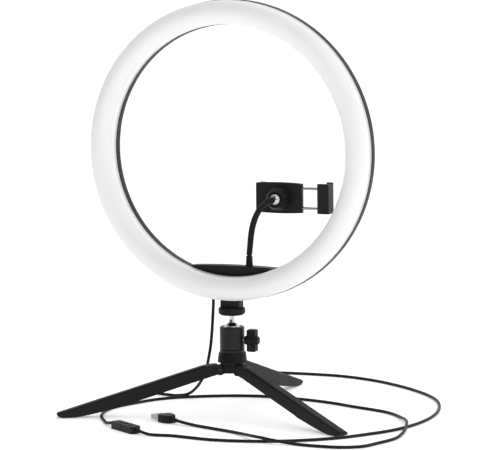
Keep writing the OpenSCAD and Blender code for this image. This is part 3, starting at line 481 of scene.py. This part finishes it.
SOFTENED = {
    "rear_housing": (0.25, BLACK), "neck_shelf": (0.5, BLACK), "neck_base_sleeve": (0.25, BLACK),
    "clamp_nut": (0.5, BLACK), "clamp_plate": (0.7, BLACK), "clamp_cover": (0.3, BLACK),
    "fixed_jaw_pad": (0.25, RUBBER), "moving_jaw_pad": (0.25, RUBBER), "moving_jaw": (0.6, BLACK),
    "lock_disc": (0.3, BLACK), "ball_head_body": (0.3, BLACK_METAL), "lock_knob": (0.6, BLACK),
    "hub_collar": (0.35, BLACK), "hub_core": (0.3, BLACK),
    "leg_left": (0.6, LEG_BLACK), "leg_right": (0.6, LEG_BLACK), "leg_back": (0.6, LEG_BLACK),
    "foot_pad_left": (0.2, RUBBER), "foot_pad_right": (0.2, RUBBER), "foot_pad_back": (0.2, RUBBER),
    "control_base": (0.6, BLACK), "control_cover": (0.6, BLACK), "usb_body": (0.9, BLACK),
    "button_power": (0.3, BUTTON), "button_dimmer": (0.3, BUTTON), "button_colour": (0.3, BUTTON),
}


# ---------- lead ----------

CORD_D = mm(3)
CORD_STEP = mm(1.5)

# Routes of the lead, in millimetres. A point without a height is on the floor.
FLOOR_Z = 1.5

DROP_ROUTE = [
    (-30, 13.6, 124.83), (-30, 14.6, 124.83), (-30, 17, 124.2), (-30, 20.5, 122.4), (-30, 23.4, 119.4),
    (-30.2, 25.2, 115.6), (-30.4, 25.6, 111), (-30.6, 25.5, 101), (-31.3, 25.3, 88), (-32.3, 25.2, 74),
    (-34, 25.6, 60), (-36.8, 27, 48), (-41.6, 31.5, 35.4), (-50, 39, 22.6), (-60.5, 48.5, 12.3),
    (-71, 55, 5.1), (-79, 57.5, 2.6), (-88, 58.3, FLOOR_Z),
]
RING_SIDE_ROUTE = [
    (-88.2, 58.35), (-98, 60.5), (-108, 63.6), (-120, 69), (-130, 77), (-136.5, 88.5),
    (-138, 101), (-136, 115), (-130, 132), (-121, 153), (-113, 174), (-104, 194),
    (-92, 208), (-70, 217), (-44, 220), (-4, 223), (31, 221), (70, 207),
    (102, 187), (130, 164), (152, 141), (168, 118), (181, 88), (190, 54),
    (193, 20), (190, -14), (182, -42), (169, -66), (146, -98), (113, -124),
    (79, -139), (41, -145), (-3, -139.3), (-14, -141), (-24, -142.2, 1.9), (-30, -141.4, 2.9),
    (-33.8, -139.6, 3.5), (-35, -138.8, 3.5),
]
USB_SIDE_ROUTE = [
    (-77.4, -110.3, 3.5), (-78.6, -109.5, 3.5), (-83, -106, 2.6), (-88.5, -100, 1.8), (-95, -90.5),
    (-101, -81.5), (-107, -71.5), (-112, -59), (-115.8, -45), (-117, -32), (-115, -16), (-107.5, 6),
    (-97.5, 29), (-83, 47), (-61.5, 62), (-37, 74.5), (-16, 81), (5, 83.6), (33, 81.5), (56, 77),
    (78, 70), (105, 58), (128, 49), (144, 41), (155.5, 31.5), (165, 19.5, 2),
    (173.5, 6.5, 3.2), (180.5, -7, 4.4), (185.5, -18.5, 4.9), (190, -32, 4.5), (194, -47, 3.3),
    (196.5, -64, 2.1), (197, -82), (190, -108), (182, -128), (165, -138.5),
    (140, -140.5), (122, -138.5), (110, -138, 2.4), (101, -140, 3.8), (94, -139.8, 4.6),
    (87, -136.4, 4.8), (78, -131, 4.4), (66, -120, 3.1), (54, -109.5, 1.9),
    (43, -102.8), (22, -94.5), (5, -87.8), (-4, -84.6, 1.7), (-12, -82.6, 2.4), (-18, -81.5, 3.2),
    (-22.1, -80.6, 3.8), (-23.4, -79.8, 3.8),
]


def route(points):
    """A route in metres, on the floor where a point gives no height."""
    return [mm(*p) if len(p) > 2 else mm(*p, FLOOR_Z) for p in points]


def add_cord(name, node, line):
    """A length of the lead that stands for a CAD one, with the slight unevenness of a moulded skin."""
    def radius(s):
        return CORD_D / 2 * (1 + 0.008 * math.sin(s / mm(3.1)) + 0.006 * math.sin(s / mm(7.7)))
    piece = add_mesh(name, sweep(line, radius, 16), CORD)
    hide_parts(node)
    return piece


def add_drop():
    """The hanging stretch, in a piece for each of the three joints between the ring and the stand."""
    drop = catmull(route(DROP_ROUTE), CORD_STEP)
    last = len(drop) - 1
    cuts = [0, round(len(drop) * 0.4), round(len(drop) * 0.62), last]
    for i, (upper, lower) in enumerate((("ring", "stud"), ("stud", "ball"), ("ball", "stand"))):
        line = drop[cuts[i]:cuts[i + 1] + 1]
        piece = add_cord(f"lead_drop_{i + 1}", "cord_drop", line)
        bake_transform(piece)


def add_floor_stretch(name, node, points, **ends):
    line = catmull(route(points), CORD_STEP)
    piece = add_cord(name, node, line)
    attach(piece, "stand")


def add_leads():
    """The lead, from the ring by way of the controller to the plug."""
    add_drop()
    add_floor_stretch("lead_ring_side", "cord_ring_side", RING_SIDE_ROUTE, far_end="object")
    add_floor_stretch("lead_usb_side", "cord_usb_side", USB_SIDE_ROUTE, far_end="connector",
                      with_pieces=["usb_body_shell", "usb_shell", "usb_relief_skin"])


# ---------- stage ----------

def add_area_light(name, place, target, size, power):
    """A square soft box."""
    data = bpy.data.lights.new(name, "AREA")
    data.size = size
    data.energy = power
    light = bpy.data.objects.new(name, data)
    light.location = place
    light.rotation_euler = (Vector(target) - Vector(place)).to_track_quat("-Z", "Y").to_euler()
    bpy.context.collection.objects.link(light)


def add_surround():
    """A white surround that darkens towards the front left."""
    world = bpy.data.worlds.new("surround")
    bpy.context.scene.world = world
    world.use_nodes = True
    tree = world.node_tree
    background = tree.nodes["Background"]
    background.inputs["Strength"].default_value = 1.1
    place = tree.nodes.new("ShaderNodeTexCoord")
    facing = tree.nodes.new("ShaderNodeVectorMath")
    facing.operation = "DOT_PRODUCT"
    facing.inputs[1].default_value = (0.42, 0.88, -0.2)
    tree.links.new(place.outputs["Generated"], facing.inputs[0])
    white = spread(tree, facing.outputs["Value"], 0, 1, -0.8, -0.1)
    tree.links.new(mix_colors(tree, white, (0.12, 0.12, 0.12), (1, 1, 1)), background.inputs["Color"])


def add_stage():
    """A pale floor, a bright even surround and three soft boxes."""
    bm = bmesh.new()
    bmesh.ops.create_grid(bm, x_segments=8, y_segments=8, size=30)
    data = bpy.data.meshes.new("floor")
    bm.to_mesh(data)
    bm.free()
    floor = bpy.data.objects.new("floor", data)
    data.materials.append(floor_material())
    floor.location = (0, 0, CAD_BOX[0][2] - mm(0.05))
    bpy.context.collection.objects.link(floor)
    add_surround()
    add_area_light("key", (1.3, -1.7, 1.7), (0, 0, 0.2), 1.0, 5)
    add_area_light("fill", (-1.9, -1.2, 1.1), (0, 0, 0.2), 0.9, 1)
    add_area_light("top", (0.1, 0.5, 2.2), (0, 0, 0.1), 1.6, 3)
    bpy.context.scene.view_settings.view_transform = "Standard"


# ---------- ring ----------

def add_diffuser():
    """The milky ring: a dome on a straight side wall, hollow behind, with a thin parting line."""
    out_r = (RING_HIGH.x - RING_LOW.x) / 2
    in_r = out_r - RING_WIDTH
    mid, half = (out_r + in_r) / 2, (out_r - in_r) / 2
    rise = mm(10)
    wall = mm(2)
    shoulder = -RING_LOW.y - rise
    outer = arc(mid, shoulder, half, rise, 0, 180, 36)
    inner = arc(mid, shoulder, half - wall, rise - wall, 180, 0, 24)
    lip = [(in_r, -mm(0.9)), (in_r + mm(0.25), -mm(1)), (in_r + wall, -mm(1))]
    rim = [(out_r - wall, -mm(1)), (out_r - mm(0.25), -mm(1)), (out_r, -mm(0.9))]
    centre = Vector((RING_CENTRE.x, 0, RING_CENTRE.z))
    piece = add_mesh("diffuser_shell", lathe(outer + lip + inner + rim, centre, (0, -1, 0), 288), DIFFUSER,
                     "ring")
    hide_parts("diffuser")


# ---------- gooseneck ----------

NECK_STEPS = [
    (0, 0, 0), (2.1, -2.5, 9.5), (4.8, -6.4, 19.8), (8.7, -11, 30), (14, -15.4, 39.9),
    (17.2, -16.7, 44.5), (21.5, -17.6, 49.6), (25.9, -16, 53.3), (28.6, -11.8, 54.6), (29.8, -3.6, 54.8),
]


def add_gooseneck():
    """The ribbed skin over the links, in a piece for each joint, and the smooth ferrule at the ball."""
    foot = Vector(JOINTS["neck lean 1"]["pos_m"])
    points = [foot + mm(*p) for p in NECK_STEPS]
    line = catmull(points, mm(0.25))
    core, pitch, rib = mm(2.4), mm(1.9), mm(0.75)

    def nearest(point):
        return min(range(len(line)), key=lambda i: (line[i] - point).length)

    def start_from(index):
        offset = line_length(line[:index + 1])

        def radius(s):
            wave = abs(2 * ((s + offset) / pitch % 1) - 1)
            return core + rib * (1 - wave)
        return radius

    cuts = [0, *(nearest(points[i]) for i in (1, 3, 5)), nearest(points[7])]
    for i in range(4):
        part = line[cuts[i]:cuts[i + 1] + 1]
        piece = add_mesh(f"neck_skin_{i + 1}", sweep(part, start_from(cuts[i]), 20), SKIN)
        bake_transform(piece)
        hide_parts(f"neck_link_{i + 1}")
    ball_r = (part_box("neck_ball")[1][2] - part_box("neck_ball")[0][2]) / 2
    reach = ball_r + mm(0.05)
    tip = next(i for i in range(cuts[4] + 1, len(line)) if (line[i] - points[-1]).length < reach)
    ferrule = line[cuts[4] - 4:tip]
    length = line_length(ferrule)

    def ferrule_radius(s):
        edge = min(s, length - s)
        return mm(2.45) + mm(0.85) * min(1, (edge / mm(1.1)) ** 0.5)
    add_mesh("neck_ferrule", sweep(ferrule, ferrule_radius, 28), BLACK, "neck link 4")


# ---------- clamp springs ----------

def add_springs():
    """The clamp's two coil springs, wound along the box of the CAD springs."""
    low, high = (Vector(v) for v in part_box("clamp_springs"))
    middle_y = (low.y + high.y) / 2
    outer = (high.y - low.y) / 2
    wire = mm(0.22)
    coil_r = outer - wire
    turns, steps = 16, 14
    for i, z in enumerate((low.z + outer, high.z - outer)):
        line = []
        for k in range(turns * steps + 1):
            angle = 2 * math.pi * k / steps
            x = low.x + wire + (high.x - low.x - 2 * wire) * k / (turns * steps)
            line.append(Vector((x, middle_y + coil_r * math.cos(angle), z + coil_r * math.sin(angle))))
        piece = add_mesh(f"spring_coil_{i + 1}", sweep(line, lambda s: wire, 6), STEEL)
        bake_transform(piece)
        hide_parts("clamp_springs")


# ---------- strain reliefs ----------

CONTROL_RELIEF_L = mm(8.9)
USB_RELIEF_L = mm(11.5)
RELIEF_TIP_R = mm(1.75)
PLUG_TURN = math.radians(148)


def add_relief(node, tip, inward, length, wide):
    """A tapered, slotted strain relief that stands for a CAD one. Its tip is at an end of a route."""
    end = mm(*tip)
    start = end + inward * length
    axis = (end - start).normalized()
    length = (end - start).length
    count = 60
    line = [start + axis * length * i / count for i in range(count + 1)]

    def radius(s):
        t = s / length
        slots = mm(0.35) * max(0, math.sin(2 * math.pi * s / mm(1.9))) if 0.15 < t < 0.9 else 0
        return wide + (RELIEF_TIP_R - wide) * t - slots
    piece = add_mesh(node + "_skin", sweep(line, radius, 24), CORD, "stand")
    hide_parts(node)


def add_reliefs():
    """The strain reliefs at the controller's two ends and at the plug."""
    control = middle("control_base")
    tips = {"control_relief_ring": RING_SIDE_ROUTE[-1], "control_relief_usb": USB_SIDE_ROUTE[0]}
    for node, tip in tips.items():
        point = mm(*tip)
        inward = (Vector((control.x, control.y, point.z)) - point).normalized()
        add_relief(node, tip, inward, CONTROL_RELIEF_L, mm(2.8))
    inward = Vector((math.cos(PLUG_TURN), math.sin(PLUG_TURN), 0))
    add_relief("usb_relief", USB_SIDE_ROUTE[-1], inward, USB_RELIEF_L, mm(3.1))


# ---------- making ----------

def paint_cad():
    """Gives each CAD node that stays its material, and the others a copy with rounded edges."""
    for node, material in CAD_MATERIALS.items():
        thing = frame["nodes"][node]
        thing.data.materials.clear()
        thing.data.materials.append(material)
        for face in thing.data.polygons:
            face.material_index = 0
    for node, (width, material) in SOFTENED.items():
        softened(node, width, material)


add_camera()
add_stage()
paint_cad()
add_diffuser()
add_gooseneck()
add_springs()
add_reliefs()
add_leads()
